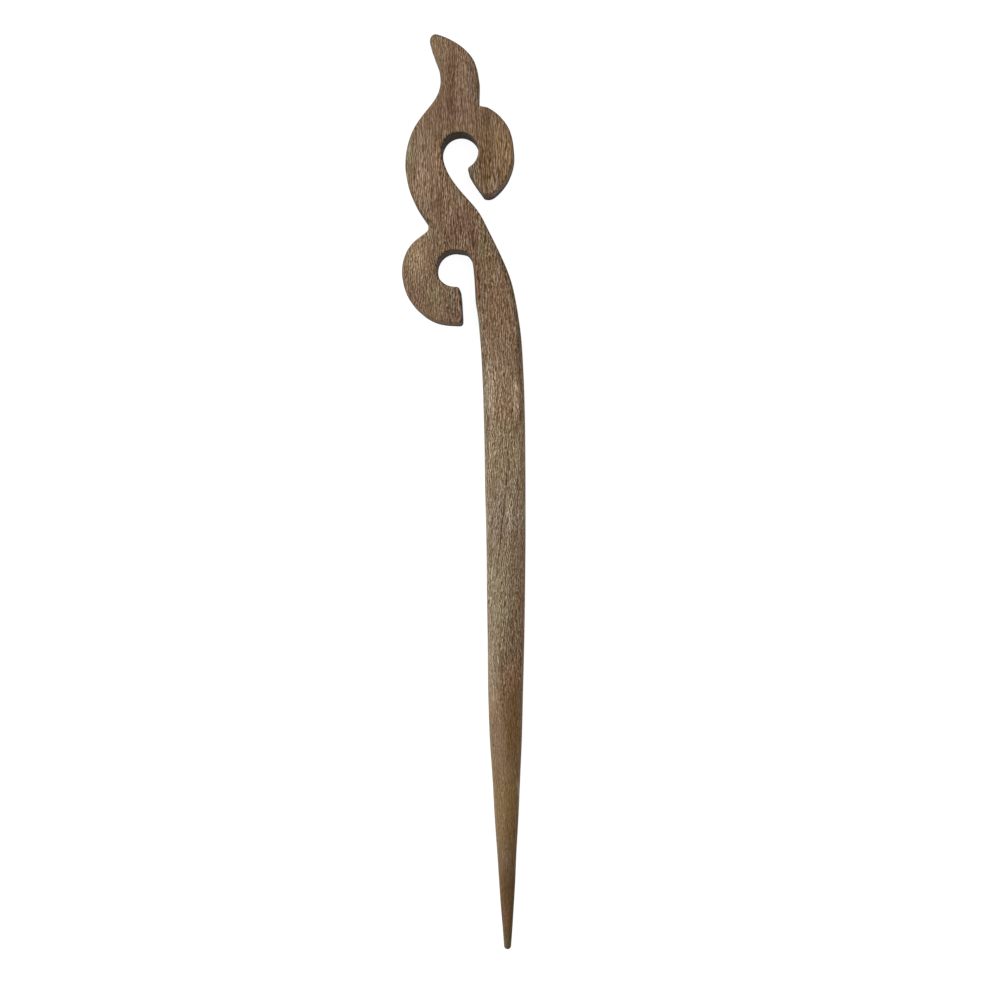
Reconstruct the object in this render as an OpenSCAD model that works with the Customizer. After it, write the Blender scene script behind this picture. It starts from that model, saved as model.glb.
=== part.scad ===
// A one-piece wooden hair stick, sawn from a thin board and lying flat.
// All sizes are in millimetres. The head, with its two scrolls and its flame, points along +Y
// and the shaft along -Y; the underside is at Z = 0 and the outline is centred on X and Y.

/* [Board] */
// Length of the stick, from the tip of the shaft to the top of the flame
stick_length = 184.3; // [150:0.1:220]
// Thickness of the board
board_t = 5; // [4:0.1:7]
// How far the sanded edges of the head are eased
edge_ease = 0.35; // [0.2:0.05:0.45]

/* [Shaft] */
// Squareness of the shaft's section where it leaves the head, where 2 is an oval
shaft_square = 3.4; // [2.4:0.1:4.5]
// Distance below the middle of the stick at which the shaft begins to thin
taper_start = 15; // [10:1:40]
// Thickness left at the tip of the shaft
tip_t = 1.7; // [1.2:0.1:2.5]

/* [Scrolls] */
// Radius of the round eye inside the upper scroll
upper_eye_r = 3.7; // [3.6:0.05:3.8]
// Radius of the round eye inside the lower scroll
lower_eye_r = 3.65; // [3.5:0.05:3.75]

/* [Smoothness] */
// Angle that the outline turns through between two points
turn_step = 8; // [6:1:15]
// Longest straight between two points of the outline
longest_step = 3; // [2:0.5:5]
// Facets across each rounded edge
edge_facets = 4; // [2:1:5]

/* [Hidden] */

// Columns of a knot of the outline: its place, and the direction of travel there in degrees.
// The outline runs round the stick with the wood on its left-hand side.
X = 0;
Y = 1;
TURN = 2;

// Flame, from its tip down the left side of the body to the lower notch
flame_left = [
    [-5.7, 92.15, 182],
    [-6.8, 90.8, 268],
    [-6.3, 89.0, 287],
    [-5.2, 86.0, 288],
    [-4.65, 82.9, 272],
    [-5.3, 79.9, 245],
    [-7.6, 76.7, 231],
    [-9.9, 73.5, 241],
    [-11.3, 69.8, 256],
    [-11.75, 65.9, 270],
    [-11.2, 62.0, 282],
    [-9.65, 57.9, 298],
    [-7.5, 54.6, 302]
];

// Lower scroll, from the notch round the outside of the lobe to its blunt end
lower_lobe = [
    [-7.1, 53.1, 265],
    [-7.85, 52.15, 217],
    [-10.05, 50.45, 224],
    [-12.0, 47.2, 252],
    [-12.35, 43.4, 277],
    [-11.05, 39.1, 299],
    [-8.2, 36.0, 321],
    [-4.8, 34.35, 347],
    [-1.0, 34.0, 358],
    [-0.3, 34.7, 88],
    [-0.45, 38.0, 92],
    [-0.7, 40.6, 98],
    [-1.3, 41.35, 174]
];

// Left edge of the shaft, from the corner of the lower eye down
shaft_left = [
    [0.5, 48.3, 335],
    [1.35, 47.35, 303],
    [1.85, 45.9, 283],
    [2.05, 44.2, 276],
    [2.35, 39.6, 272],
    [2.7, 36.6, 280],
    [3.15, 32.8, 275],
    [3.7, 23.0, 272.5],
    [4.05, 12.0, 271.5]
];

// Right edge of the shaft, then of the body, up to the upper eye
shaft_right = [
    [12.3, 14.0, 91],
    [12.0, 24.0, 93],
    [11.2, 34.0, 98],
    [9.85, 41.4, 104],
    [7.95, 46.6, 114],
    [5.3, 52.1, 117],
    [3.0, 56.4, 125],
    [0.65, 59.2, 132],
    [-2.65, 63.4, 122]
];

// Upper scroll, from its inner corner round the point of the hook to the step beside the flame
upper_hook = [
    [1.1, 65.4, 222],
    [1.1, 64.2, 298],
    [3.85, 60.05, 305],
    [4.95, 59.7, 3],
    [6.9, 60.8, 44],
    [9.0, 63.6, 65],
    [10.1, 67.8, 89],
    [9.4, 72.3, 109],
    [7.25, 75.55, 134],
    [5.3, 77.05, 150],
    [4.7, 77.35, 166],
    [3.65, 77.55, 174],
    [3.0, 78.2, 92]
];

// Right side of the flame, up to its tip
flame_right = [
    [3.05, 82.6, 90],
    [2.4, 86.0, 109],
    [0.6, 88.7, 134],
    [-2.4, 90.9, 152],
    [-4.6, 91.9, 162]
];

// Centre of each eye, and the angles between which its wall is a plain circle
upper_eye = [-0.75, 68.6];
upper_eye_span = [195, -44];
lower_eye = [-1.8, 45.05];
lower_eye_span = [250, 80];

// Columns of a section of the shaft below the middle
AT = 0;
LEFT = 1;
RIGHT = 2;

// Edges of the shaft at each height, down to the point where its tip is turned round
shaft_rows = [
    [0, 4.25, 12.4],
    [-10, 4.5, 12.4],
    [-20, 4.6, 12.3],
    [-30, 4.75, 12.15],
    [-40, 4.85, 11.9],
    [-50, 5.2, 11.65],
    [-58, 5.75, 11.3],
    [-66, 6.2, 10.95],
    [-73, 6.7, 10.55],
    [-79, 7.1, 10.3],
    [-84, 7.45, 10.0],
    [-88, 7.8, 9.75],
    [-91.4, 8.05, 9.5]
];

// Angles round the turned end of the tip, from level, at which it has points
tip_angles = [30, 58, 78];

// Heights between which the eased edges of the head grow until they meet on a crowned shaft
crown_from = 34;
crown_by = 24;

// Heights between which the crowned section loses its squareness and becomes an oval
oval_from = 6;
oval_by = -20;

// Share of the half width and half thickness that the rounding takes on the shaft
round_share = 0.94;

// Wood left round the outline when the stick is marked out on its board
board_margin = 3;

function place(knot) = [knot[X], knot[Y]];
function heading(angle) = [cos(angle), sin(angle)];

// Angle turned between two knots, from -180 to 180
function turn_between(a, b) = (b[TURN] - a[TURN] + 540) % 360 - 180;

// Length of the curve's handles, which makes it a circle where the knots lie on one
function reach(a, b) =
    norm(place(b) - place(a)) / (3 * pow(cos(turn_between(a, b) / 4), 2));

// Place and inward direction at part t of the curve from one knot to the next
function on_curve(a, b, t) =
    let (
        p0 = place(a),
        p3 = place(b),
        p1 = p0 + reach(a, b) * heading(a[TURN]),
        p2 = p3 - reach(a, b) * heading(b[TURN]),
        s = 1 - t,
        travel = s * s * (p1 - p0) + 2 * s * t * (p2 - p1) + t * t * (p3 - p2)
    )
    [
        s * s * s * p0 + 3 * s * s * t * p1 + 3 * s * t * t * p2 + t * t * t * p3,
        [-travel[Y], travel[X]] / norm(travel)
    ];

// Points of the curve from one knot up to, but not including, the next
function curve(a, b) =
    let (
        by_turn = abs(turn_between(a, b)) / turn_step,
        by_length = norm(place(b) - place(a)) / longest_step,
        steps = ceil(max(by_turn, by_length))
    )
    [for (i = [0:steps - 1]) on_curve(a, b, i / steps)];

// Knots round an eye, whose wall is followed clockwise
eye_arcs = 4;
function eye_knots(centre, r, span) =
    [for (i = [0:eye_arcs])
        let (a = span[0] + (span[1] - span[0]) * i / eye_arcs)
        [centre[X] + r * cos(a), centre[Y] + r * sin(a), a - 90]];

// Outline above the middle, from the shaft's right edge round to its left edge
knots = concat(
    [[shaft_rows[0][RIGHT], shaft_rows[0][AT], 90]],
    shaft_right,
    eye_knots(upper_eye, upper_eye_r, upper_eye_span),
    upper_hook,
    flame_right,
    flame_left,
    lower_lobe,
    eye_knots(lower_eye, lower_eye_r, lower_eye_span),
    shaft_left,
    [[shaft_rows[0][LEFT], shaft_rows[0][AT], 271]]
);
head_run = [
    for (i = [0:len(knots) - 2]) each curve(knots[i], knots[i + 1]),
    [place(knots[len(knots) - 1]), [1, 0]]
];

// Outline of the shaft below the middle: down its left edge to the turned end of the tip,
// and back up its right edge, point for point
tip_row = shaft_rows[len(shaft_rows) - 1];
tip_mid = (tip_row[LEFT] + tip_row[RIGHT]) / 2;
tip_half = (tip_row[RIGHT] - tip_row[LEFT]) / 2;
function tip_point(side, angle) = [
    [tip_mid + side * tip_half * cos(angle), tip_row[AT] - tip_half * sin(angle)],
    [-side * cos(angle), sin(angle)]
];
left_run = [
    for (i = [1:len(shaft_rows) - 1]) [[shaft_rows[i][LEFT], shaft_rows[i][AT]], [1, 0]],
    for (angle = tip_angles) tip_point(-1, angle)
];
right_run = [
    for (i = [len(tip_angles) - 1:-1:0]) tip_point(1, tip_angles[i]),
    for (i = [len(shaft_rows) - 1:-1:1]) [[shaft_rows[i][RIGHT], shaft_rows[i][AT]], [-1, 0]]
];
run = concat(head_run, left_run, right_run);

// Smooth ramp from 0 to 1
function ramp(x) = let (c = max(0, min(1, x))) c * c * (3 - 2 * c);

// Half width of the shaft at a height
function half_width(y) = lookup(y, [for (row = shaft_rows) [row[AT], (row[RIGHT] - row[LEFT]) / 2]]);

// Share of the way down the taper, and the thickness of the wood there
function taper_at(y) = max(0, (-taper_start - y) / (tip_half - tip_row[AT] - taper_start));
function thickness_at(y) = board_t + (tip_t - board_t) * pow(taper_at(y), 1.5);

// How far the rounding of an edge reaches: eased on the head, and nearly the whole half
// width or half thickness on the shaft
function crown_at(y) = ramp((crown_from - y) / (crown_from - crown_by));
function rounding(y, half) = edge_ease + (round_share * half - edge_ease) * crown_at(y);

// Power of the edge's curve: 2 on the head's eased edges and on the oval, more between them
function power_at(y) =
    2 + (shaft_square - 2) * crown_at(y) * (1 - ramp((oval_from - y) / (oval_from - oval_by)));

// Inset and height of the points across one edge, from the underside to the top face, where
// the rounding reaches in by a and down by b on wood of thickness t
function edge_profile(a, b, t, power) =
    let (
        step = 90 / edge_facets,
        rise = [for (i = [0:edge_facets]) pow(sin(i * step), 2 / power)],
        below = [for (i = [0:edge_facets]) [a * (1 - rise[i]), b * (1 - rise[edge_facets - i])]]
    )
    concat(below, [for (i = [edge_facets:-1:0]) [below[i][0], t - below[i][1]]]);

// Points across the edge at one point of the outline
function edge_points(p) =
    let (
        y = p[0][Y],
        t = thickness_at(y),
        a = rounding(y, half_width(y)),
        b = rounding(y, t / 2)
    )
    [for (q = edge_profile(a, b, t, power_at(y))) [each (p[0] + q[0] * p[1]), q[1] + (board_t - t) / 2]];

// The shaped wood: a wall round the outline, closed above and below by one flat face on the
// head and a ladder of faces along the shaft
module shaped_wood() {
    across = 2 * (edge_facets + 1);
    around = len(run);
    points = [for (p = run) each edge_points(p)];
    walls = [for (i = [0:around - 1], k = [0:across - 2])
        let (j = (i + 1) % around)
        [i * across + k, i * across + k + 1, j * across + k + 1, j * across + k]];
    left = len(head_run) - 1;
    flats = concat(
        [[for (i = [0:left]) i]],
        [for (i = [0:len(left_run) - 1])
            [left + i, left + i + 1, around - 1 - i, (around - i) % around]]
    );
    under = [for (face = flats) [for (i = face) i * across]];
    over = [for (face = flats) [for (k = [len(face) - 1:-1:0]) face[k] * across + across - 1]];
    polyhedron(points = points, faces = concat(walls, under, over));
}

// Lowest, middle and highest value of the outline along one axis
function lowest(axis) = min([for (p = run) p[0][axis]]);
function highest(axis) = max([for (p = run) p[0][axis]]);
function middle(axis) = (lowest(axis) + highest(axis)) / 2;

// The board that the stick is sawn from, planed flat on both faces
module board() {
    length = stick_length + 2 * board_margin;
    width = length * (highest(X) - lowest(X)) / (highest(Y) - lowest(Y)) + 2 * board_margin;
    translate([-width / 2, -length / 2, 0])
        cube([width, length, board_t]);
}

// The stick, brought to its length without a change to the board's thickness
module hair_stick() {
    color("#7a6249")
        intersection() {
            board();
            resize([0, stick_length, 0], auto = [true, true, false])
                translate([-middle(X), -middle(Y), 0])
                    shaped_wood();
        }
}

hair_stick();
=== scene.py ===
"""A one-piece walnut hair stick, lying on a pale floor and seen from above.

The stick is sawn from a thin board: two scrolls and a flame at its head, and a long shaft that
is worked to an oval and thins to a rounded tip. A fine mesh made from the stick's own knots and
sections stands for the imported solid. The stick's tables are in millimetres, as a maker marks
them out, and everything in the scene is in metres.
"""

import logging
import math
from dataclasses import dataclass
from enum import Enum
from typing import Any, NamedTuple, TypeVar

import bpy
import numpy as np
from mathutils import Euler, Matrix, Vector, noise
from mathutils.geometry import delaunay_2d_cdt


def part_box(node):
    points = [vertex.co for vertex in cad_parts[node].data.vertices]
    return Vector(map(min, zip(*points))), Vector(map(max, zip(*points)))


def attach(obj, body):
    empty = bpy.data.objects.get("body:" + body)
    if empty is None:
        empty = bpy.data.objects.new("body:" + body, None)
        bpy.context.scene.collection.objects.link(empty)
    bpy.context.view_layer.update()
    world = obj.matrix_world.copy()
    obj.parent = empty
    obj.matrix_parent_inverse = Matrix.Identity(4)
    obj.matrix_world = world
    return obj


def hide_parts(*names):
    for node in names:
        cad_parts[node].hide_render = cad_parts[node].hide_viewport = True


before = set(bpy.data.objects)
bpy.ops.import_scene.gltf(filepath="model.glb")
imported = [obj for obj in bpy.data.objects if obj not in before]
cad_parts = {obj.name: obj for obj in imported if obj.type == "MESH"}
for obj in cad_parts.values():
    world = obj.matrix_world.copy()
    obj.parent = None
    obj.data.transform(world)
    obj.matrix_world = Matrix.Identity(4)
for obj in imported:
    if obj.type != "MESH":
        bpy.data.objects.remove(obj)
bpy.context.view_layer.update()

MM = 0.001
NODE = "hair_stick"
BODY = "root"
# Tells the triangulation to leave out what lies outside the loop
INSIDE_ONLY = 1

# Where a change starts and where it is complete, which may be the lower of the two
Span = tuple[float, float]
# Red, green and blue
Colour = tuple[float, float, float]
WHITE = (1.0, 1.0, 1.0, 1.0)
Row = TypeVar("Row")

log = logging.getLogger("hair_stick")


class Knot(NamedTuple):
    """A knot of the outline: its place in mm and the direction of travel there in degrees."""

    x: float
    y: float
    heading: float


class Eye(NamedTuple):
    """A round eye of a scroll: centre and radius in mm, and the angles of its plain wall."""

    x: float
    y: float
    radius: float
    start: float
    end: float


class Section(NamedTuple):
    """The shaft's left and right edge at a height, in mm."""

    y: float
    left: float
    right: float


def table(kind: type[Row], *rows: tuple[float, ...]) -> tuple[Row, ...]:
    """Gives the numbers in each row the names of that kind's columns."""
    return tuple(kind(*row) for row in rows)


def ramp(value: np.ndarray, start: float, end: float) -> np.ndarray:
    """Goes smoothly from 0 to 1 while the value goes from start up or down to end."""
    share = np.clip((value - start) / (end - start), 0.0, 1.0)
    return share * share * (3.0 - 2.0 * share)


def smooth_through(at: np.ndarray, places: np.ndarray, values: np.ndarray) -> np.ndarray:
    """Follows a smooth curve through known values.

    Args:
        at: Where the curve is wanted.
        places: Where the values are known, rising.
        values: The known values, one row for each place.

    Returns:
        One row of values for each number in at.
    """
    slopes = np.gradient(values, places, axis=0)
    k = np.clip(np.searchsorted(places, at) - 1, 0, len(places) - 2)
    span = (places[k + 1] - places[k])[:, None]
    t = (at - places[k])[:, None] / span
    rest = 1.0 - t
    return (
        rest * rest * (1.0 + 2.0 * t) * values[k]
        + t * t * (1.0 + 2.0 * rest) * values[k + 1]
        + t * rest * span * (rest * slopes[k] - t * slopes[k + 1])
    )


@dataclass(frozen=True)
class Outline:
    """The edge of the stick, as it is marked out on the board.

    It runs round the stick with the wood on its left, through knots that are joined by
    curves. Between two knots on one circle the curve is that circle.
    """

    turn_step: float = 3.0
    longest_step: float = 0.8
    shaft_step: float = 1.0
    tip_steps: int = 9
    eye_arcs: int = 4
    flame_left: tuple[Knot, ...] = table(
        Knot,
        (-5.7, 92.15, 182),
        (-6.8, 90.8, 268),
        (-6.3, 89.0, 287),
        (-5.2, 86.0, 288),
        (-4.65, 82.9, 272),
        (-5.3, 79.9, 245),
        (-7.6, 76.7, 231),
        (-9.9, 73.5, 241),
        (-11.3, 69.8, 256),
        (-11.75, 65.9, 270),
        (-11.2, 62.0, 282),
        (-9.65, 57.9, 298),
        (-7.5, 54.6, 302),
    )
    lower_lobe: tuple[Knot, ...] = table(
        Knot,
        (-7.1, 53.1, 265),
        (-7.85, 52.15, 217),
        (-10.05, 50.45, 224),
        (-12.0, 47.2, 252),
        (-12.35, 43.4, 277),
        (-11.05, 39.1, 299),
        (-8.2, 36.0, 321),
        (-4.8, 34.35, 347),
        (-1.0, 34.0, 358),
        (-0.3, 34.7, 88),
        (-0.45, 38.0, 92),
        (-0.7, 40.6, 98),
        (-1.3, 41.35, 174),
    )
    shaft_left: tuple[Knot, ...] = table(
        Knot,
        (0.5, 48.3, 335),
        (1.35, 47.35, 303),
        (1.85, 45.9, 283),
        (2.05, 44.2, 276),
        (2.35, 39.6, 272),
        (2.7, 36.6, 280),
        (3.15, 32.8, 275),
        (3.7, 23.0, 272.5),
        (4.05, 12.0, 271.5),
    )
    shaft_right: tuple[Knot, ...] = table(
        Knot,
        (12.3, 14.0, 91),
        (12.0, 24.0, 93),
        (11.2, 34.0, 98),
        (9.85, 41.4, 104),
        (7.95, 46.6, 114),
        (5.3, 52.1, 117),
        (3.0, 56.4, 125),
        (0.65, 59.2, 132),
        (-2.65, 63.4, 122),
    )
    upper_hook: tuple[Knot, ...] = table(
        Knot,
        (1.1, 65.4, 222),
        (1.1, 64.2, 298),
        (3.85, 60.05, 305),
        (4.95, 59.7, 3),
        (6.9, 60.8, 44),
        (9.0, 63.6, 65),
        (10.1, 67.8, 89),
        (9.4, 72.3, 109),
        (7.25, 75.55, 134),
        (5.3, 77.05, 150),
        (4.7, 77.35, 166),
        (3.65, 77.55, 174),
        (3.0, 78.2, 92),
    )
    flame_right: tuple[Knot, ...] = table(
        Knot,
        (3.05, 82.6, 90),
        (2.4, 86.0, 109),
        (0.6, 88.7, 134),
        (-2.4, 90.9, 152),
        (-4.6, 91.9, 162),
    )
    upper_eye: Eye = Eye(-0.75, 68.6, 3.7, 195, -44)
    lower_eye: Eye = Eye(-1.8, 45.05, 3.65, 250, 80)
    shaft_sections: tuple[Section, ...] = table(
        Section,
        (0, 4.25, 12.4),
        (-10, 4.5, 12.4),
        (-20, 4.6, 12.3),
        (-30, 4.75, 12.15),
        (-40, 4.85, 11.9),
        (-50, 5.2, 11.65),
        (-58, 5.75, 11.3),
        (-66, 6.2, 10.95),
        (-73, 6.7, 10.55),
        (-79, 7.1, 10.3),
        (-84, 7.45, 10.0),
        (-88, 7.8, 9.75),
        (-91.4, 8.05, 9.5),
    )

    @property
    def tip_section(self) -> Section:
        """The last section, below which the tip is turned round."""
        return self.shaft_sections[-1]

    @property
    def tip_half(self) -> float:
        """Half the shaft's width at its last section, which is the radius of the tip."""
        return (self.tip_section.right - self.tip_section.left) / 2

    def _eye_knots(self, eye: Eye) -> tuple[Knot, ...]:
        """Places knots on the wall of an eye, which is followed clockwise.

        Args:
            eye: The eye.

        Returns:
            Knots that are evenly spread over the eye's plain wall.
        """
        angles = np.linspace(eye.start, eye.end, self.eye_arcs + 1)
        turned = np.radians(angles)
        return tuple(
            Knot(eye.x + eye.radius * math.cos(a), eye.y + eye.radius * math.sin(a), d - 90)
            for a, d in zip(turned, angles)
        )

    def _curve(self, a: Knot, b: Knot) -> np.ndarray:
        """Follows the curve from one knot up to, but not including, the next.

        Args:
            a: The knot where the curve starts.
            b: The knot that it leads to.

        Returns:
            Rows of x, y and the inward direction's x, y.
        """
        turn = (b.heading - a.heading + 540) % 360 - 180
        chord = math.hypot(b.x - a.x, b.y - a.y)
        reach = chord / (3 * math.cos(math.radians(turn / 4)) ** 2)
        steps = math.ceil(max(abs(turn) / self.turn_step, chord / self.longest_step))
        start, end = (np.radians(knot.heading) for knot in (a, b))
        p0 = np.array([a.x, a.y])
        p3 = np.array([b.x, b.y])
        p1 = p0 + reach * np.array([math.cos(start), math.sin(start)])
        p2 = p3 - reach * np.array([math.cos(end), math.sin(end)])
        t = np.linspace(0, 1, steps, endpoint=False)[:, None]
        s = 1 - t
        point = s**3 * p0 + 3 * s * s * t * p1 + 3 * s * t * t * p2 + t**3 * p3
        travel = s * s * (p1 - p0) + 2 * s * t * (p2 - p1) + t * t * (p3 - p2)
        travel /= np.linalg.norm(travel, axis=1)[:, None]
        return np.hstack([point, -travel[:, 1:], travel[:, :1]])

    def _head(self) -> np.ndarray:
        """Follows the outline above the middle, from the shaft's right edge to its left edge.

        Returns:
            Rows of x, y and the inward direction's x, y.
        """
        first = self.shaft_sections[0]
        chain = (
            Knot(first.right, first.y, 90),
            *self.shaft_right,
            *self._eye_knots(self.upper_eye),
            *self.upper_hook,
            *self.flame_right,
            *self.flame_left,
            *self.lower_lobe,
            *self._eye_knots(self.lower_eye),
            *self.shaft_left,
            Knot(first.left, first.y, 271),
        )
        return np.vstack([self._curve(a, b) for a, b in zip(chain, chain[1:])])

    def _shaft(self) -> np.ndarray:
        """Follows the shaft below the middle, down its left edge, round the tip and back up.

        Returns:
            Rows of x, y and the inward direction's x, y.
        """
        rows = np.array(self.shaft_sections)[::-1]
        steps = round((rows[-1, 0] - rows[0, 0]) / self.shaft_step)
        y = np.linspace(rows[-1, 0], rows[0, 0], steps + 1)
        edges = smooth_through(y, rows[:, 0], rows[:, 1:])
        level = np.ones_like(y)
        left = np.stack([edges[:, 0], y, level, 0 * level], axis=1)
        right = np.stack([edges[:, 1], y, -level, 0 * level], axis=1)[:0:-1]
        middle = (self.tip_section.left + self.tip_section.right) / 2
        angle = np.radians(np.linspace(180, 360, 2 * self.tip_steps + 1)[1:-1])
        out = np.stack([np.cos(angle), np.sin(angle)], axis=1)
        turned = np.array([middle, self.tip_section.y]) + self.tip_half * out
        return np.vstack([left, np.hstack([turned, -out]), right])

    def run(self) -> np.ndarray:
        """Rows of x, y and the inward direction's x, y all the way round, in mm."""
        return np.vstack([self._head(), self._shaft()])


@dataclass(frozen=True)
class EdgeShape:
    """How the board's edges are worked: eased on the head, crowned and then oval on the shaft.

    Sizes are in mm. The shaft's section is a superellipse: its power is shaft_square where it
    is crowned and true_oval, an ordinary ellipse's, where it is oval.
    """

    board_thickness: float = 5.0
    edge_ease: float = 0.46
    ease_wander: float = 0.12
    wander_length: float = 2.6
    shaft_square: float = 3.4
    true_oval: float = 2.0
    taper_start: float = -15.0
    taper_power: float = 1.5
    tip_thickness: float = 1.7
    crown_along: Span = (34.0, 24.0)
    oval_along: Span = (6.0, -20.0)
    round_share: float = 0.94
    facets: int = 8

    def points(self, run: np.ndarray, outline: Outline) -> np.ndarray:
        """Works the edge at every point of the outline.

        Args:
            run: Rows of x, y and the inward direction's x, y, in mm.
            outline: The outline that the run was taken from.

        Returns:
            An array of x, y, z for each point of the run and each step across its edge, from
            the underside to the top face.
        """
        y = run[:, 1]
        rows = np.array(outline.shaft_sections)[::-1]
        half = np.interp(y, rows[:, 0], (rows[:, 2] - rows[:, 1]) / 2)
        bottom = outline.tip_section.y - outline.tip_half
        taper = np.clip((self.taper_start - y) / (self.taper_start - bottom), 0, None)
        thinned = (self.tip_thickness - self.board_thickness) * taper**self.taper_power
        thickness = self.board_thickness + thinned
        crown = ramp(y, *self.crown_along)
        square = 1 - ramp(y, *self.oval_along)
        power = self.true_oval + (self.shaft_square - self.true_oval) * crown * square
        wander = [noise.noise(Vector((x, v, 0)) / self.wander_length) for x, v in run[:, :2]]
        ease = self.edge_ease * (1 + self.ease_wander * np.array(wander))
        inset = ease + (self.round_share * half - ease) * crown
        drop = ease + (self.round_share * thickness / 2 - ease) * crown
        angle = np.linspace(0, math.pi / 2, self.facets + 1)
        rise = np.maximum(np.sin(angle), 0) ** (2 / power[:, None])
        across = inset[:, None] * (1 - rise)
        up = drop[:, None] * (1 - rise[:, ::-1])
        reach = np.hstack([across, across[:, ::-1]])
        height = np.hstack([up, thickness[:, None] - up[:, ::-1]])
        height = height + (self.board_thickness - thickness[:, None]) / 2
        places = run[:, None, :2] + reach[:, :, None] * run[:, None, 2:]
        return np.concatenate([places, height[:, :, None]], axis=2)


class Tint(Enum):
    """Ways that walnut's colour drifts, each the share that is added to red, green and blue."""

    LIGHT = (0.22, 0.22, 0.22)
    RUDDY = (0.06, -0.06, -0.06)
    GOLDEN = (0.03, 0.01, -0.13)


class ShadeAndStain(Enum):
    """Painted shade on the edges, walls and eyes, and the darker wood of the sawn walls, with
    what each does to the colour.

    At full strength each multiplies red, green and blue by these numbers.
    """

    # Painted shade on surfaces that face -X, towards the key light, with a grey tinge
    LEFT_EDGE = (0.67, 0.76, 0.81)
    # Painted shade in thin arcs close inside the edges
    RIM = (0.67, 0.71, 0.68)
    # Painted shade on the head's eased, rounded edges
    EASED_EDGE = (0.82, 0.82, 0.86)
    # The head's sawn walls: their darker wood, together with painted shade
    WALL = (0.82, 0.74, 0.64)
    # Painted shadow on the walls near the floor
    WALL_FOOT = (0.2, 0.2, 0.2)
    # Painted shade in the hollows of the eyes
    EYE = (0.42, 0.4, 0.38)


class Oval(NamedTuple):
    """An upright ellipse on the board: its middle and half sizes, in mm."""

    x: float
    y: float
    half_width: float
    half_length: float


class Patch(NamedTuple):
    """A patch of the board with a tone of its own.

    Its place and half sizes are in mm. The rest says how much lighter, ruddier and more golden
    than plain walnut it is, where below zero means darker, greener and greyer.
    """

    x: float
    y: float
    half_width: float
    half_length: float
    light: float
    ruddy: float
    golden: float

    @property
    def oval(self) -> Oval:
        """The oval that the patch fills."""
        return Oval(*self[:4])

    def shift(self) -> Colour:
        """Works out how the patch's middle differs from plain walnut.

        Returns:
            The share that is added to red, green and blue.
        """
        parts = zip((self.light, self.ruddy, self.golden), Tint)
        rows = [[amount * share for share in tint.value] for amount, tint in parts]
        return tuple(sum(column) for column in zip(*rows))


class Line(NamedTuple):
    """A thin line of the grain: its place, ends and half width in mm, and its tone in stops."""

    x: float
    y_from: float
    y_to: float
    half_width: float
    stops: float


class ShadeRim(NamedTuple):
    """A thin arc of painted shade close inside an edge.

    It is a stretch of an oval, whose middle and half sizes are in mm. It lies on the oval's +X
    or -X side, between two places along the stick.
    """

    x: float
    y: float
    half_width: float
    half_length: float
    side: float
    y_from: float
    y_to: float

    @property
    def oval(self) -> Oval:
        """The oval that the rim is a stretch of."""
        return Oval(*self[:4])


class Marks(NamedTuple):
    """One kind of mark in the wood, which is drawn by noise.

    The width is across the fibres and the length along them, in mm. The seed tells kinds of
    like size apart, and each octave of detail adds finer marks.
    """

    width: float
    length: float
    seed: float
    strength: float = 1.0
    detail: float = 0.0


class Signal:
    """A shader socket on which sums are written as on a number, each adding a Math node."""

    def __init__(self, shader: "Shader", socket: bpy.types.NodeSocket) -> None:
        """Wraps an output socket of the shader's tree."""
        self.shader = shader
        self.socket = socket

    def _math(self, operation: str, *terms: "Signal | float") -> "Signal":
        """Adds a Math node on the given terms."""
        settings = {"operation": operation}
        return self.shader.node("ShaderNodeMath", settings, dict(enumerate(terms)))

    def __add__(self, other: "Signal | float") -> "Signal":
        """Adds."""
        return self._math("ADD", self, other)

    def __radd__(self, other: float) -> "Signal":
        """Adds to a number."""
        return self._math("ADD", other, self)

    def __sub__(self, other: "Signal | float") -> "Signal":
        """Subtracts."""
        return self._math("SUBTRACT", self, other)

    def __rsub__(self, other: float) -> "Signal":
        """Subtracts from a number."""
        return self._math("SUBTRACT", other, self)

    def __mul__(self, other: "Signal | float") -> "Signal":
        """Multiplies."""
        return self._math("MULTIPLY", self, other)

    def __rmul__(self, other: float) -> "Signal":
        """Multiplies a number."""
        return self._math("MULTIPLY", other, self)

    def __abs__(self) -> "Signal":
        """Drops the sign."""
        return self._math("ABSOLUTE", self)


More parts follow.
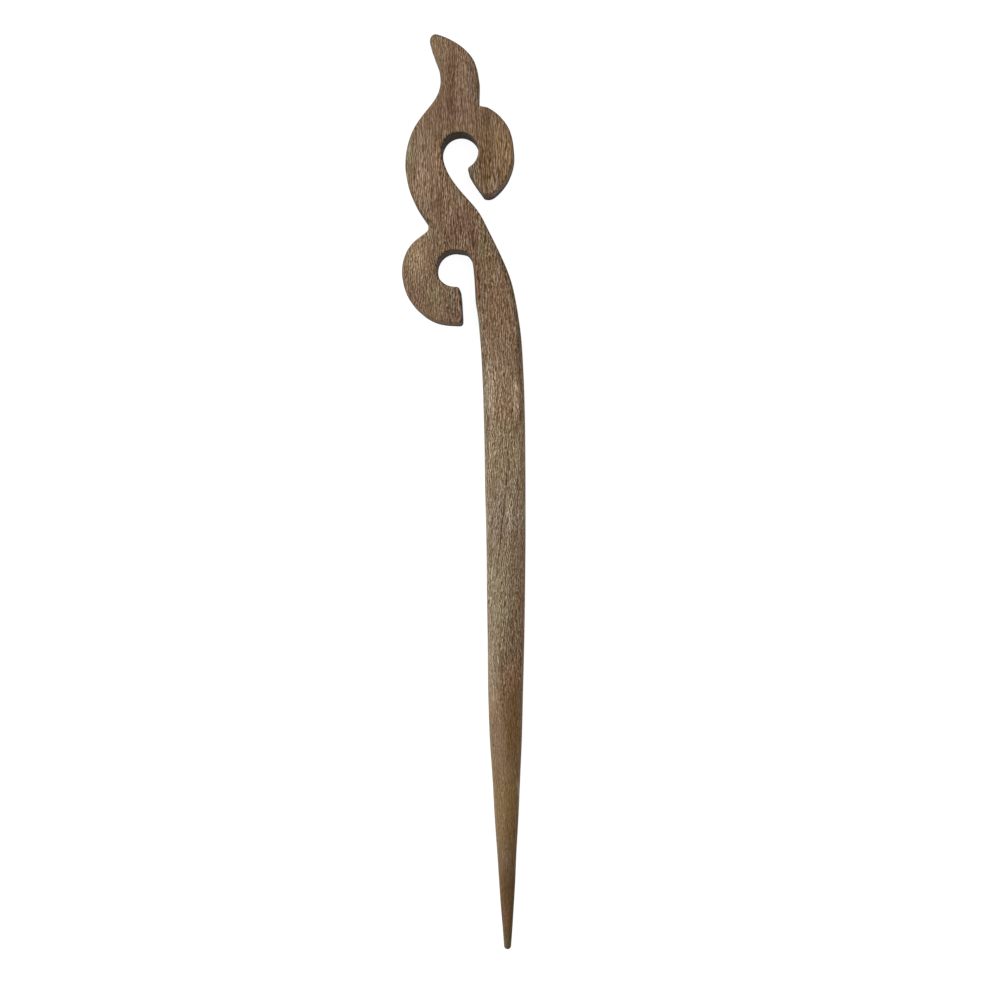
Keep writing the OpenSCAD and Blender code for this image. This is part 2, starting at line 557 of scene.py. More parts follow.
class Shader:
    """The node tree of one finish.

    The wave texture turns by WAVE_RADIANS over one unit of its scale, and FINER_WAVER is the
    size of its waver. SEED_STEP is how far one step of a seed moves a noise. THREAD_EDGE is how
    near to its middle a noise is at the edge and in the middle of a thread.
    """

    WAVE_RADIANS = 20.0
    FINER_WAVER = 2.2
    SEED_STEP = (1.0, 2.3, -1.7)
    THREAD_EDGE = (0.085, 0.0)

    def __init__(self, name: str) -> None:
        """Makes a material, with a surface node and an output of its own.

        Args:
            name: The material's name.
        """
        self.material = bpy.data.materials.new(name)
        self.material.use_nodes = True
        self.tree = self.material.node_tree

    def _feed(self, made: bpy.types.Node, inputs: dict[str | int, Any]) -> None:
        """Links or sets the sockets of a node.

        Args:
            made: The node.
            inputs: A value or a Signal for each socket, by name or number.
        """
        for name, value in inputs.items():
            if isinstance(value, Signal):
                self.tree.links.new(value.socket, made.inputs[name])
            else:
                made.inputs[name].default_value = value

    def surface(self, inputs: dict[str, Any]) -> None:
        """Feeds the material's surface node."""
        self._feed(self.tree.nodes["Principled BSDF"], inputs)

    def node(
        self,
        kind: str,
        settings: dict[str, Any] | None = None,
        inputs: dict[str | int, Any] | None = None,
        output: str | int = 0,
    ) -> Signal:
        """Adds a node.

        Args:
            kind: The node's type.
            settings: Its properties, set first; stops holds the places and colours of a ramp.
            inputs: A value or a Signal for each socket, by name or number.
            output: The socket that is wanted.

        Returns:
            The wanted output.
        """
        made = self.tree.nodes.new(kind)
        for name, value in (settings or {}).items():
            if name == "stops":
                self._set_stops(made, value)
            else:
                setattr(made, name, value)
        self._feed(made, inputs or {})
        return Signal(self, made.outputs[output])

    @staticmethod
    def _set_stops(made: bpy.types.Node, stops: tuple[tuple[float, Colour], ...]) -> None:
        """Sets the stops of a ramp's node.

        Args:
            made: The node.
            stops: The place of each stop from 0 to 1, and its colour.
        """
        elements = made.color_ramp.elements
        while len(elements) < len(stops):
            elements.new(1.0)
        for element, (place, colour) in zip(elements, stops):
            element.position = place
            element.color = (*colour, 1.0)

    def vector(self, operation: str, *terms: Any, output: str | int = 0) -> Signal:
        """Adds a Vector Math node on the given terms."""
        settings = {"operation": operation}
        return self.node("ShaderNodeVectorMath", settings, dict(enumerate(terms)), output)

    def darken(self, share: Signal, colour: Signal, darken: ShadeAndStain) -> Signal:
        """Darkens a colour with painted shade, which on the walls also holds their darker wood.

        Args:
            share: How much of the darkening is taken up.
            colour: The colour that is darkened.
            darken: The darkening.

        Returns:
            The darkened colour.
        """
        settings = {"data_type": "RGBA", "blend_type": "MULTIPLY"}
        inputs = {0: share, 6: colour, 7: (*darken.value, 1.0)}
        return self.node("ShaderNodeMix", settings, inputs, 2)

    def rise(self, value: Signal, start: float, end: float) -> Signal:
        """Goes smoothly from 0 to 1.

        Args:
            value: What the rise follows.
            start: Up to this value the rise is 0.
            end: From this value, which may be the lower one, it is 1.

        Returns:
            A value from 0 to 1.
        """
        settings = {"interpolation_type": "SMOOTHSTEP", "clamp": True}
        inputs = {"Value": value, "From Min": start, "From Max": end}
        return self.node("ShaderNodeMapRange", settings, inputs)

    def within(self, value: Signal, low: float, high: float, fade: float) -> Signal:
        """Picks out a stretch.

        Args:
            value: What the stretch is measured on.
            low: Where it starts.
            high: Where it ends.
            fade: How far from each end it is complete.

        Returns:
            A value that is 0 outside the stretch and 1 well inside it.
        """
        return self.rise(value, low, low + fade) * self.rise(value, high, high - fade)

    def from_middle(self, place: Signal, oval: Oval) -> Signal:
        """Measures how far a place is from the middle of an oval.

        Args:
            place: The place in the wood, in mm.
            oval: The oval.

        Returns:
            0 at the middle and 1 on the oval's line.
        """
        scale = (1 / oval.half_width, 1 / oval.half_length, 0.0)
        shift = (-oval.x / oval.half_width, -oval.y / oval.half_length, 0.0)
        away = self.vector("MULTIPLY_ADD", place, scale, shift)
        return self.vector("LENGTH", away, output="Value")

    def off_line(self, place: Signal, oval: Oval) -> Signal:
        """Measures how far a place is off the line of an oval, as a share of the oval's size."""
        return abs(self.from_middle(place, oval) - 1)

    def split(self, vector: Signal) -> tuple[Signal, Signal, Signal]:
        """Takes a vector apart."""
        parts = self.node("ShaderNodeSeparateXYZ", inputs={0: vector}).socket.node
        return tuple(Signal(self, socket) for socket in parts.outputs)

    def grain(self, place: Signal, marks: Marks) -> Signal:
        """Adds noise that is drawn out along the wood's fibres.

        Args:
            place: The place in the wood, in mm.
            marks: The kind of mark.

        Returns:
            A value that wanders about 0, mostly within 0.3 of it for a strength of 1.
        """
        scale = (1 / marks.width, 1 / marks.length, 1 / marks.width)
        shift = tuple(step * marks.seed for step in self.SEED_STEP)
        shifted = self.vector("MULTIPLY_ADD", place, scale, shift)
        inputs = {"Vector": shifted, "Scale": 1.0, "Detail": marks.detail}
        return (self.node("ShaderNodeTexNoise", inputs=inputs) - 0.5) * marks.strength

    def fibres(self, place: Signal, space: float, length: float, waver: float) -> Signal:
        """Draws fine lines side by side along the wood's fibres.

        Args:
            place: The place in the wood, in mm.
            space: From one line to the next, in mm.
            length: How far a line runs before it wavers, in mm.
            waver: How far the lines stray, in radians of the wave.

        Returns:
            A value that swings between -0.5 and 0.5 across the lines.
        """
        drawn_out = self.vector("MULTIPLY", place, (1.0, space / length, 1.0))
        inputs = {
            "Vector": drawn_out,
            "Scale": math.tau / self.WAVE_RADIANS / space,
            "Distortion": waver,
            "Detail": 0.0,
            "Detail Scale": self.FINER_WAVER,
        }
        return self.node("ShaderNodeTexWave", inputs=inputs) - 0.5

    def threads(self, place: Signal, marks: Marks) -> Signal:
        """Draws thin wavy threads, which fork and join, along the wood's fibres.

        Args:
            place: The place in the wood, in mm.
            marks: The space between threads and how far they run before they turn.

        Returns:
            A value of 1 on a thread and 0 between threads.
        """
        return self.rise(abs(self.grain(place, marks)), *self.THREAD_EDGE)


class Spot(NamedTuple):
    """The spot that is coloured, and how it was cut.

    Its place is in mm, and so is its fibre, with x across the fibres and y along them. Side is
    1 off the board's two faces, wall where the saw went straight down, and left where the spot
    faces -X.
    """

    shader: Shader
    place: Signal
    fibre: Signal
    x: Signal
    y: Signal
    z: Signal
    side: Signal
    wall: Signal
    left: Signal


@dataclass(frozen=True)
class WalnutFinish:
    """Sanded matte walnut: streaks, fibres, pores and flecks along Y, with painted shade on its
    edges, walls and eyes and darker wood on its sawn walls.

    Places and sizes are in mm. How light or dark something is drawn is in stops, and
    stops_across_tones of these lead from the darkest tone to the lightest.
    """

    name: str = "sanded walnut"
    roughness: float = 0.65
    gloss: float = 0.06
    bump_height: float = 0.025
    tones: tuple[tuple[float, Colour], ...] = (
        (0.0, (0.055, 0.022, 0.006)),
        (0.29, (0.094, 0.05, 0.0215)),
        (0.5, (0.185, 0.114, 0.064)),
        (0.76, (0.352, 0.25, 0.176)),
        (1.0, (0.5, 0.4, 0.31)),
    )
    stops_across_tones: float = 4.4

    # How the fibres lean, spread below the top face, run on in the flame and sway
    lean: float = 2.8
    lean_along: Span = (-30.0, 20.0)
    rake: float = 0.8
    rake_across: Span = (6.4, 10.4)
    top_face: float = EdgeShape.board_thickness
    draw_out: float = 10.0
    draw_out_along: Span = (48.0, 92.0)
    sway: Marks = Marks(11.0, 38.0, 3.1, 3.2, 1.0)

    # The marks of the grain
    streak: Marks = Marks(1.1, 16.0, 2.0, 0.8, 2.0)
    hair: Marks = Marks(0.2, 0.52, 4.0)
    hair_stops: float = 2.9
    hair_roughness: float = 0.35
    strand_space: float = 0.44
    strand_length: float = 1.35
    strand_waver: float = 6.0
    strand_stops: float = 1.6
    pore: Marks = Marks(0.4, 2.6, 7.0)
    pore_stops: float = -0.35
    busy: Marks = Marks(1.8, 5.0, 8.0, 1.0, 1.0)
    busy_over: Span = (-0.2, 0.2)
    busy_least: float = 0.8
    busy_gain: float = 0.3

    # Where the fine marks are fainter
    clear_along: Span = (-45.0, -33.0)
    tip_share: float = 0.5
    flame_calm_along: Span = (66.0, 76.0)
    flame_calm: float = 0.2
    left_calm_across: Span = (-2.0, -6.0)
    left_calm: float = 0.14
    wall_calm: float = 0.45

    # Broad patches of tone, whose edge is given in shares of their size; one strip on the
    # shaft's right edge is painted light
    patch_edge: Span = (1.35, 0.35)
    ragged_across: Marks = Marks(1.0, 9.0, 7.7, 1.3, 2.0)
    ragged_along: Marks = Marks(1.2, 5.0, 9.2, 8.0, 2.0)
    flame_and_hook: tuple[Patch, ...] = table(
        Patch,
        (-5.0, 89.5, 1.6, 3.0, 0.6, -0.2, 0.1),
        (-4.7, 84.0, 0.6, 4.5, 0.1, -0.9, 0.2),
        (-2.4, 82.0, 1.2, 7.0, -1.1, 0.3, 0.3),
        (-0.6, 85.5, 0.9, 6.5, 0.5, 0.2, -0.4),
        (1.6, 82.5, 1.0, 5.5, -0.5, 0.1, -0.8),
        (-2.2, 76.2, 3.2, 3.2, -0.4, 0.6, -0.4),
        (4.3, 75.6, 1.8, 2.0, -0.9, 0.2, -0.2),
        (4.7, 68.0, 1.5, 7.5, -1.1, 0.3, 1.1),
        (6.9, 70.5, 0.6, 6.0, 0.9, -0.2, 0.6),
        (8.6, 67.0, 1.9, 7.5, 0.5, 0.1, 1.0),
        (5.0, 61.8, 2.0, 2.2, -0.1, -0.3, 0.4),
        (1.9, 64.3, 1.2, 2.2, -1.1, -0.3, -0.1),
    )
    body_and_lobe: tuple[Patch, ...] = table(
        Patch,
        (-10.8, 68.2, 0.9, 4.0, 0.8, -2.1, 0.4),
        (-8.0, 68.4, 1.9, 5.5, 1.7, -0.8, -1.0),
        (-5.2, 67.2, 1.0, 3.5, 1.2, 0.3, 0.1),
        (-8.6, 62.0, 2.0, 4.0, 1.6, -0.2, -0.5),
        (-7.2, 57.6, 1.3, 2.6, 0.8, -0.5, -0.8),
        (-4.7, 58.0, 0.6, 4.2, -1.1, 0.9, 0.4),
        (-3.2, 57.0, 0.5, 4.5, 0.8, 0.1, -0.7),
        (-0.2, 54.2, 2.3, 3.6, -0.8, 0.8, -0.3),
        (-2.6, 50.8, 1.8, 1.8, -0.8, 0.5, 0.0),
        (2.2, 50.5, 1.0, 3.2, -1.2, 0.6, 0.2),
        (-5.5, 50.8, 0.8, 3.0, -0.6, -0.6, 0.4),
        (-9.5, 46.8, 2.1, 5.2, 1.9, -0.7, 0.0),
        (-7.8, 51.6, 1.6, 1.8, 1.2, -0.6, -0.4),
        (-9.6, 40.3, 1.8, 2.2, -0.3, 0.4, -0.3),
        (-5.6, 39.4, 1.7, 2.4, 0.9, -1.7, 0.5),
        (-2.6, 39.2, 1.2, 1.8, -0.5, -0.9, -0.3),
        (-2.2, 36.2, 1.7, 1.7, -0.8, 0.2, -0.5),
    )
    neck_and_shaft: tuple[Patch, ...] = table(
        Patch,
        (4.2, 49.4, 1.1, 3.6, -0.2, -1.0, 0.7),
        (5.4, 44.5, 1.4, 4.5, -0.2, -0.4, 0.8),
        (2.6, 42.0, 0.6, 6.0, -1.5, 0.9, 0.2),
        (6.9, 36.5, 2.4, 6.5, 0.3, 0.3, 0.2),
        (3.2, 34.0, 0.8, 4.5, 0.5, -1.2, -0.5),
        (5.3, 29.0, 1.2, 4.0, 1.3, -0.4, -0.2),
        (7.9, 19.5, 4.5, 7.5, 1.5, -0.7, -0.2),
        (5.3, 20.5, 1.0, 6.0, 2.2, -1.0, -1.4),
        # Painted light: lifts the shaft's right side, which its rounding turns into shade
        (10.6, 19.2, 0.8, 4.0, 3.6, -0.3, -1.1),
        (8.6, 16.2, 1.0, 3.4, -0.4, 0.9, 0.3),
        (8.0, 8.0, 4.5, 7.5, 1.4, -1.4, 0.1),
        (5.9, 8.0, 1.0, 5.5, 0.5, -0.3, -0.3),
        (10.1, 5.0, 0.6, 7.0, 1.2, -1.0, -0.4),
        (7.9, -4.0, 4.5, 6.5, 1.4, -1.5, -1.4),
        (9.1, -4.5, 0.6, 5.0, 2.6, -1.4, -0.7),
        (11.3, 0.0, 0.9, 18.0, 1.9, -0.8, 0.2),
        (7.3, -18.0, 3.8, 9.0, 1.4, -1.9, -0.2),
        (6.0, -33.0, 1.4, 10.0, 1.4, -1.4, -0.6),
        (8.3, -26.5, 1.6, 5.0, 0.3, -1.1, 0.0),
        (10.9, -24.0, 0.8, 9.5, 1.5, -0.9, 0.1),
        (11.2, -20.5, 0.6, 2.8, -0.5, 1.7, 0.2),
        (8.2, -33.5, 1.2, 2.6, -0.6, -0.5, 0.3),
        (10.4, -36.5, 1.2, 4.6, 0.7, 0.7, 1.0),
        (8.2, -40.0, 1.6, 3.6, -0.5, 0.3, 0.6),
        (10.0, -47.0, 1.8, 8.5, -1.0, 0.4, 1.8),
        (10.9, -60.0, 0.35, 1.6, 3.0, -1.6, -1.6),
        (10.0, -64.0, 1.2, 9.5, -0.4, 0.1, 1.5),
        (6.4, -42.5, 1.2, 3.4, 1.1, 0.4, 0.0),
        (7.6, -62.0, 3.0, 9.0, 0.0, -0.1, 1.1),
        (8.6, -74.0, 3.0, 8.0, -0.8, -0.1, 0.5),
        (8.8, -84.5, 2.4, 9.0, -1.8, 0.6, 0.8),
        (8.8, -91.0, 1.6, 3.5, -0.6, -1.0, 0.5),
    )

    # Thin dark lines, whose edge is given in half widths, and the pale arch in the hook's point
    lines: tuple[Line, ...] = table(
        Line,
        (6.25, -19.0, 13.0, 0.14, -1.9),
        (9.6, -2.0, 9.0, 0.1, -1.0),
        (5.2, -34.0, -22.0, 0.1, -0.8),
        (7.4, -32.0, -24.0, 0.09, -0.8),
    )
    line_edge: Span = (1.6, 0.3)
    line_waver: Marks = Marks(1.0, 1.3, 6.6, 0.4)
    line_breaks: Marks = Marks(3.0, 3.0, 5.3, 1.0, 1.0)
    line_breaks_over: Span = (-0.16, 0.08)
    line_least: float = 0.3
    end_fade: float = 3.0
    arch: Oval = Oval(5.7, 60.7, 0.6, 2.1)
    arch_edge: Span = (0.4, 0.1)
    arch_fade: float = 1.0
    arch_stops: float = 0.7

    # The normal's z on a side and on a wall, and its x on a left edge
    side_facing: Span = (0.97, 0.3)
    wall_facing: Span = (0.6, 0.1)
    left_facing: Span = (-0.05, -0.6)

    # Where shade and shadow are painted on, and where the sawn walls' wood is darker
    left_thins_along: Span = (13.0, 2.0)
    left_thins_by: float = 0.5
    left_off_walls: float = 0.5
    # Thin arcs of painted shade inside the neck's right edge and the body's left edge
    shade_rims: tuple[ShadeRim, ...] = table(
        ShadeRim,
        (1.5, 28.0, 9.5, 24.0, 1.0, 27.0, 51.0),
        (-4.5, 66.5, 6.7, 13.0, -1.0, 52.0, 62.0),
    )
    rim_edge: Span = (0.045, 0.02)
    rim_middle_fade: float = 1.0
    head_along: Span = (24.0, 36.0)
    # The painted shadow on the walls grows from this height down to the floor
    shadow_foot_height: Span = (4.0, 1.4)
    # How strongly each eye's hollow gets painted shade, and how far out its wall lies
    eyes: tuple[tuple[Eye, float], ...] = ((Outline.upper_eye, 1.0), (Outline.lower_eye, 0.5))
    eye_wall: Span = (4.9, 4.1)

    def _bent(self, shader: Shader, place: Signal) -> Signal:
        """Follows the fibres, which lean, spread below the face, sway and run on in the flame.

        Args:
            shader: The tree that the nodes go into.
            place: The place in the wood, in mm.

        Returns:
            A place whose x stays the same along one fibre and whose y runs along it, in mm.
        """
        x, y, z = shader.split(place)
        lean = shader.rise(y, *self.lean_along) * self.lean
        sway = shader.grain(place, self.sway)
        outward = shader.rise(x, *self.rake_across) * 2 - 1
        slant = (self.top_face - z) * self.rake * outward - lean
        drawn_out = shader.rise(y, *self.draw_out_along) * -self.draw_out
        inputs = {0: sway + slant, 1: drawn_out, 2: sway}
        shift = shader.node("ShaderNodeCombineXYZ", inputs=inputs)
        return shader.vector("ADD", place, shift)

    def _spot(self, shader: Shader) -> Spot:
        """Finds where the spot is and how it was cut.

        Args:
            shader: The tree that the nodes go into.

        Returns:
            The spot.
        """
        object_place = shader.node("ShaderNodeTexCoord", output="Object")
        place = shader.vector("MULTIPLY", object_place, (1 / MM, 1 / MM, 1 / MM))
        normal = shader.node("ShaderNodeNewGeometry", output="Normal")
        facing_x, _, facing_z = shader.split(normal)
        side = shader.rise(abs(facing_z), *self.side_facing)
        wall = shader.rise(abs(facing_z), *self.wall_facing)
        left = shader.rise(facing_x, *self.left_facing)
        fibre = self._bent(shader, place)
        return Spot(shader, place, fibre, *shader.split(place), side, wall, left)

    def _fine_marks(self, spot: Spot, hair: Signal) -> Signal:
        """Draws the hairs, strands and pores, which are stronger in some places.

        Args:
            spot: The spot that is coloured.
            hair: The noise of the hairs.

        Returns:
            How much lighter the marks make the wood, in stops.
        """
        shader, fibre = spot.shader, spot.fibre
        strand = shader.fibres(fibre, self.strand_space, self.strand_length, self.strand_waver)
        busy = shader.rise(shader.grain(fibre, self.busy), *self.busy_over)
        lines = hair * self.hair_stops + strand * self.strand_stops
        pores = shader.threads(fibre, self.pore) * self.pore_stops
        return lines * (self.busy_least + self.busy_gain * busy) + pores

    def _clearness(self, spot: Spot) -> Signal:
        """Finds how clearly the fine marks show.

        Args:
            spot: The spot that is coloured.

        Returns:
            The share of their strength that the marks have.
        """
        rise = spot.shader.rise
        shaft = rise(spot.y, *self.clear_along) * (1 - self.tip_share) + self.tip_share
        flame = rise(spot.y, *self.flame_calm_along) * self.flame_calm
        left = rise(spot.x, *self.left_calm_across) * self.left_calm
        return (shaft - (flame + left)) * (1 - spot.wall * self.wall_calm)

    def _patch_shift(self, spot: Spot) -> Signal:
        """Adds up the tones of the patches.

        Args:
            spot: The spot that is coloured.

        Returns:
            What to multiply each colour channel by.
        """
        shader = spot.shader
        across = shader.grain(spot.place, self.ragged_across)
        along = shader.grain(spot.place, self.ragged_along)
        ragged = shader.node("ShaderNodeCombineXYZ", inputs={0: across, 1: along})
        torn = shader.vector("ADD", spot.place, ragged)
        shift: Signal | Colour = (1.0, 1.0, 1.0)
        for patch in (*self.flame_and_hook, *self.body_and_lobe, *self.neck_and_shaft):
            share = shader.rise(shader.from_middle(torn, patch.oval), *self.patch_edge)
            shift = shader.vector("MULTIPLY_ADD", share, patch.shift(), shift)
        return shift

    def _line_stops(self, spot: Spot) -> Signal:
        """Draws the thin lines of the grain.

        Args:
            spot: The spot that is coloured.

        Returns:
            How much lighter the lines make the wood, in stops, which is below 0 on a line.
        """
        shader = spot.shader
        x, y, _ = shader.split(spot.fibre)
        x = x + shader.grain(spot.fibre, self.line_waver)
        drawn = []
        for line in self.lines:
            edge = [share * line.half_width for share in self.line_edge]
            near = shader.rise(abs(x - line.x), *edge)
            stretch = shader.within(y, line.y_from, line.y_to, self.end_fade)
            drawn.append(near * stretch * line.stops)
        whole = shader.rise(shader.grain(spot.fibre, self.line_breaks), *self.line_breaks_over)
        return sum(drawn) * (self.line_least + (1 - self.line_least) * whole)

    def _arch_stops(self, spot: Spot) -> Signal:
        """Draws the small pale arch of the grain in the hook's point.

        Args:
            spot: The spot that is coloured.

        Returns:
            How much lighter the arch makes the wood, in stops.
        """
        shader = spot.shader
        ring = shader.rise(shader.off_line(spot.place, self.arch), *self.arch_edge)
        upper = shader.rise(spot.y, self.arch.y - self.arch_fade, self.arch.y)
        return ring * upper * self.arch_stops

    def _on_shade_rims(self, spot: Spot) -> Signal:
        """Finds the thin arcs of painted shade close inside the edges.

        Args:
            spot: The spot that is coloured.

        Returns:
            How much of the painted shade it takes up.
        """
        shader = spot.shader
        found = []
        for rim in self.shade_rims:
            near = shader.rise(shader.off_line(spot.place, rim.oval), *self.rim_edge)
            sided = shader.rise((spot.x - rim.x) * rim.side, 0.0, self.rim_middle_fade)
            stretch = shader.within(spot.y, rim.y_from, rim.y_to, self.end_fade)
            found.append(near * sided * stretch)
        return sum(found)

    def _eye_hollow_shade(self, spot: Spot) -> Signal:
        """Finds the walls of the two eyes, whose hollows get painted shade.

        Args:
            spot: The spot that is coloured.

        Returns:
            How much painted shade it takes up, which is 0 away from the eyes.
        """
        shader = spot.shader
        found = []
        for eye, share in self.eyes:
            away = shader.from_middle(spot.place, Oval(eye.x, eye.y, 1.0, 1.0))
            found.append(shader.rise(away, *self.eye_wall) * share)
        return sum(found)

    def _shaded_and_stained(self, spot: Spot, wood: Signal) -> Signal:
        """Paints shade on the edges, walls and eyes and a shadow at the walls' foot, and gives
        the sawn walls their darker wood.

        Args:
            spot: The spot that is coloured.
            wood: The colour of the wood as it grew.

        Returns:
            The colour that shows.
        """
        shader = spot.shader
        head = shader.rise(spot.y, *self.head_along)
        thinned = 1 - shader.rise(spot.y, *self.left_thins_along) * self.left_thins_by
        # Each share paints shade or shadow; the walls' share also holds their darker wood
        shares = {
            ShadeAndStain.LEFT_EDGE: spot.left * thinned * (1 - spot.wall * self.left_off_walls),
            ShadeAndStain.RIM: self._on_shade_rims(spot),
            ShadeAndStain.EASED_EDGE: (spot.side - spot.wall) * head,
            ShadeAndStain.WALL: spot.wall * head,
            ShadeAndStain.WALL_FOOT: spot.wall * shader.rise(spot.z, *self.shadow_foot_height),
            ShadeAndStain.EYE: self._eye_hollow_shade(spot) * spot.side,
        }
        colour = wood
        for darken, share in shares.items():
            colour = shader.darken(share, colour, darken)
        return colour

    def material(self) -> bpy.types.Material:
        """Builds the finish.

        Returns:
            The material.
        """
        shader = Shader(self.name)
        spot = self._spot(shader)
        hair = shader.grain(spot.fibre, self.hair)
        fine = self._fine_marks(spot, hair) * self._clearness(spot)
        relief = fine + (self._line_stops(spot) + self._arch_stops(spot))
        stops = shader.grain(spot.fibre, self.streak) + relief
        along_tones = stops * (1 / self.stops_across_tones) + 0.5
        tone = shader.node("ShaderNodeValToRGB", {"stops": self.tones}, {0: along_tones})
        wood = shader.vector("MULTIPLY", tone, self._patch_shift(spot))
        height = {"Strength": 1.0, "Distance": self.bump_height * MM, "Height": relief}
        shader.surface(
            {
                "Base Color": self._shaded_and_stained(spot, wood),
                "Roughness": self.roughness + hair * self.hair_roughness,
                "Normal": shader.node("ShaderNodeBump", inputs=height),
                "Specular IOR Level": self.gloss,
            }
        )
        return shader.material


def put(name: str, data: bpy.types.ID) -> bpy.types.Object:
    """Adds an object to the scene.

    Args:
        name: The object's name.
        data: Its mesh, light or camera.

    Returns:
        The object.
    """
    added = bpy.data.objects.new(name, data)
    bpy.context.scene.collection.objects.link(added)
    return added


@dataclass
class HairStick:
    """The stick itself, as one smooth closed mesh."""

    name: str = "hair_stick_wood"
    outline: Outline = Outline()
    edge: EdgeShape = EdgeShape()
    finish: WalnutFinish = WalnutFinish()
    grid_pitch: float = 1.1
    grid_margin: float = 0.55
    weld_within: float = 1e-6

    def _grid_inside(self, loop: np.ndarray) -> np.ndarray:
        """Fills a loop with evenly spread points.

        Args:
            loop: The loop's corners, as rows of x and y in mm.

        Returns:
            Rows of x and y, each at least the margin away from the loop.
        """
        low = loop.min(axis=0)
        high = loop.max(axis=0)
        xs = np.arange(low[0], high[0], self.grid_pitch)
        ys = np.arange(low[1], high[1], self.grid_pitch * math.sqrt(3) / 2)
        x, y = np.meshgrid(xs, ys)
        x[1::2] += self.grid_pitch / 2
        points = np.stack([x.ravel(), y.ravel()], axis=1)
        along = np.roll(loop, -1, axis=0) - loop
        offset = points[:, None] - loop
        share = np.clip((offset * along).sum(2) / (along * along).sum(1), 0, 1)
        distance = np.linalg.norm(offset - share[:, :, None] * along, axis=2).min(axis=1)
        straddles = (offset[:, :, 1] >= 0) != (offset[:, :, 1] >= along[:, 1])
        side = along[:, 0] * offset[:, :, 1] - along[:, 1] * offset[:, :, 0]
        crossings = straddles & ((side > 0) == (along[:, 1] > 0))
        inside = crossings.sum(axis=1) % 2 == 1
        return points[inside & (distance > self.grid_margin)]

    def _cap(self, loop: np.ndarray) -> tuple[np.ndarray, list[tuple[int, ...]]]:
        """Fills a loop with triangles.

        Args:
            loop: The loop's corners, as rows of x and y in mm.

        Returns:
            The points added inside the loop, and triangles that number the loop's corners
            first and the added points after them.
        """
        added = self._grid_inside(loop)
        points = [Vector(p) for p in np.vstack([loop, added])]
        bounds = [list(range(len(loop)))]
        made = delaunay_2d_cdt(points, [], bounds, INSIDE_ONLY, self.weld_within)
        _, _, triangles, sources, *_ = made
        return added, [tuple(sources[v][0] for v in triangle) for triangle in triangles]

    def _onto_solid(self, points: np.ndarray) -> np.ndarray:
        """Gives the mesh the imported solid's length and lays it where the solid is.

        Args:
            points: Rows of x, y and z, in mm.

        Returns:
            The rows, scaled and moved in the plane of the board.
        """
        low, high = (np.array(corner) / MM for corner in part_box(NODE))
        own_low = points.min(axis=0)
        own_high = points.max(axis=0)
        scale = (high[1] - low[1]) / (own_high[1] - own_low[1])
        middle = (own_low + own_high) / 2
        flat = (points[:, :2] - middle[:2]) * scale + (low[:2] + high[:2]) / 2
        return np.hstack([flat, points[:, 2:]])

    @staticmethod
    def _edge_faces(around: int, across: int) -> list[tuple[int, ...]]:
        """Joins the points of the edge, all the way round.

        Args:
            around: How many points the outline has.
            across: How many points cross the edge at each of them.

        Returns:
            The corners of each face.
        """
        faces = []
        for i in range(around):
            j = (i + 1) % around
            for k in range(across - 1):
                a = i * across + k
                b = j * across + k
                faces.append((a, b, b + 1, a + 1))
        return faces

    def build(self) -> bpy.types.Object:
        """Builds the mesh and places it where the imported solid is.

        Returns:
            The stick, without its finish.
        """
        rings = self.edge.points(self.outline.run(), self.outline)
        around, across, _ = rings.shape
        added, triangles = self._cap(rings[:, -1, :2])
        under_face = np.hstack([added, np.zeros((len(added), 1))])
        over_face = under_face + [0.0, 0.0, self.edge.board_thickness]
        points = self._onto_solid(np.vstack([rings.reshape(-1, 3), under_face, over_face]))

        first_under = around * across
        first_over = first_under + len(added)
        under = [*range(0, first_under, across), *range(first_under, first_over)]
        over = [*range(across - 1, first_under, across), *range(first_over, len(points))]
        faces = self._edge_faces(around, across)
        faces += [tuple(over[c] for c in triangle) for triangle in triangles]
        faces += [tuple(under[c] for c in reversed(triangle)) for triangle in triangles]
        mesh = bpy.data.meshes.new(self.name)
        mesh.from_pydata((points * MM).tolist(), [], faces)
        mesh.polygons.foreach_set("use_smooth", [True] * len(faces))
        mesh.validate()
        return put(self.name, mesh)

    def dress(self, stick: bpy.types.Object) -> None:
        """Gives the stick its finish and ties it to its body.

        Args:
            stick: The stick.
        """
        stick.data.materials.append(self.finish.material())
        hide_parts(NODE)
        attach(stick, BODY)


class SoftLight(NamedTuple):
    """A square soft box: where it stands and its side, in metres, and its power in watts."""

    name: str
    place: tuple[float, float, float]
    side: float
    power: float


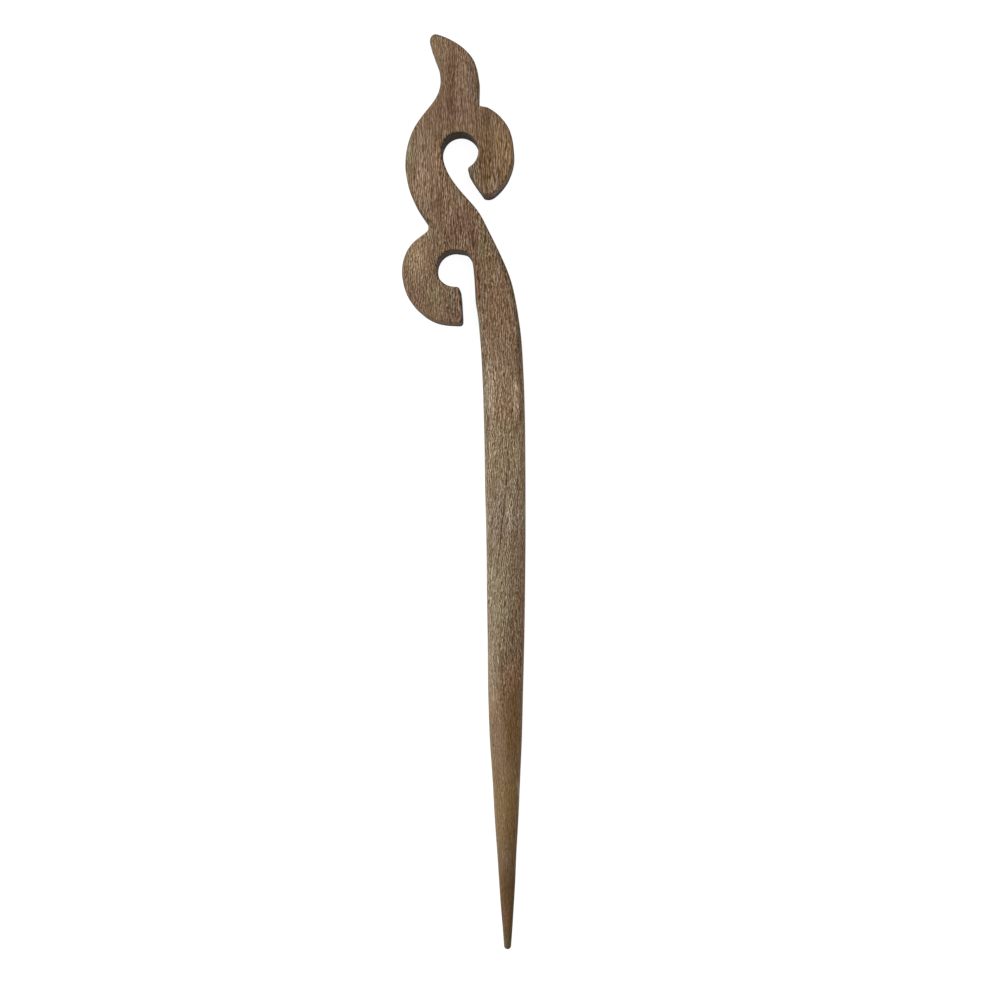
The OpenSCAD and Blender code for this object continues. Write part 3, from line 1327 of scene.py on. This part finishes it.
@dataclass(frozen=True)
class Studio:
    """A pale floor, soft light from the left and a camera that looks down."""

    floor_side: float = 6.0
    floor_drop: float = 0.00003
    floor_colour: Colour = (0.18, 0.18, 0.18)
    floor_roughness: float = 0.9
    floor_gloss: float = 0.1
    floor_glow: float = 0.92
    sky_strength: float = 0.27
    lights: tuple[SoftLight, ...] = (
        SoftLight("key", (-1.55, 0.5, 0.62), 1.1, 41.0),
        SoftLight("top", (0.2, 0.1, 1.8), 1.2, 12.5),
    )
    focal_pixels: float = 1250.0
    picture_pixels: float = 1000.0
    sensor: float = 36.0
    nearest_seen: float = 0.01
    lens_place: tuple[float, float, float] = (0.017345, -0.001428, 0.255)
    below_lens_pixels: float = 50.0

    def _floor(self) -> None:
        """Lays the floor just under the stick."""
        half = self.floor_side / 2
        corners = [(-half, -half), (half, -half), (half, half), (-half, half)]
        mesh = bpy.data.meshes.new("floor")
        mesh.from_pydata([(x, y, -self.floor_drop) for x, y in corners], [], [(0, 1, 2, 3)])
        floor = put("floor", mesh)
        shader = Shader("pale floor")
        shader.surface({"Base Color": (*self.floor_colour, 1.0), "Emission Color": WHITE})
        shader.surface({"Roughness": self.floor_roughness, "Emission Strength": self.floor_glow})
        shader.surface({"Specular IOR Level": self.floor_gloss})
        mesh.materials.append(shader.material)

    def _light(self, box: SoftLight) -> None:
        """Stands a soft box and aims it at the stick.

        Args:
            box: The soft box.
        """
        lamp = bpy.data.lights.new(box.name, "AREA")
        lamp.size = box.side
        lamp.energy = box.power
        stand = put(box.name, lamp)
        stand.location = box.place
        stand.rotation_euler = (-Vector(box.place)).to_track_quat("-Z", "Y").to_euler()

    def _sky(self) -> None:
        """Surrounds the scene with even pale light."""
        world = bpy.data.worlds.new("studio")
        world.use_nodes = True
        background = world.node_tree.nodes["Background"]
        background.inputs["Color"].default_value = WHITE
        background.inputs["Strength"].default_value = self.sky_strength
        bpy.context.scene.world = world

    def _camera(self) -> None:
        """Hangs the camera above the stick, leaning as the photographer's did."""
        lens = bpy.data.cameras.new("camera")
        lens.sensor_width = self.sensor
        lens.lens = self.sensor * self.focal_pixels / self.picture_pixels
        lens.clip_start = self.nearest_seen
        camera = put("camera", lens)
        camera.location = self.lens_place
        lean = math.atan(self.below_lens_pixels / self.focal_pixels)
        camera.rotation_euler = Euler((0.0, lean, 0.0))
        bpy.context.scene.camera = camera

    def build(self) -> None:
        """Sets up the studio."""
        self._floor()
        self._sky()
        for box in self.lights:
            self._light(box)
        self._camera()
        bpy.context.scene.view_settings.view_transform = "Standard"


def main() -> None:
    """Builds and dresses the stick, and sets up the studio round it."""
    logging.basicConfig(level=logging.INFO, format="%(name)s: %(message)s")
    maker = HairStick()
    stick = maker.build()
    maker.dress(stick)
    log.info("%s has %d faces", stick.name, len(stick.data.polygons))
    Studio().build()


if __name__ == "__main__":
    main()
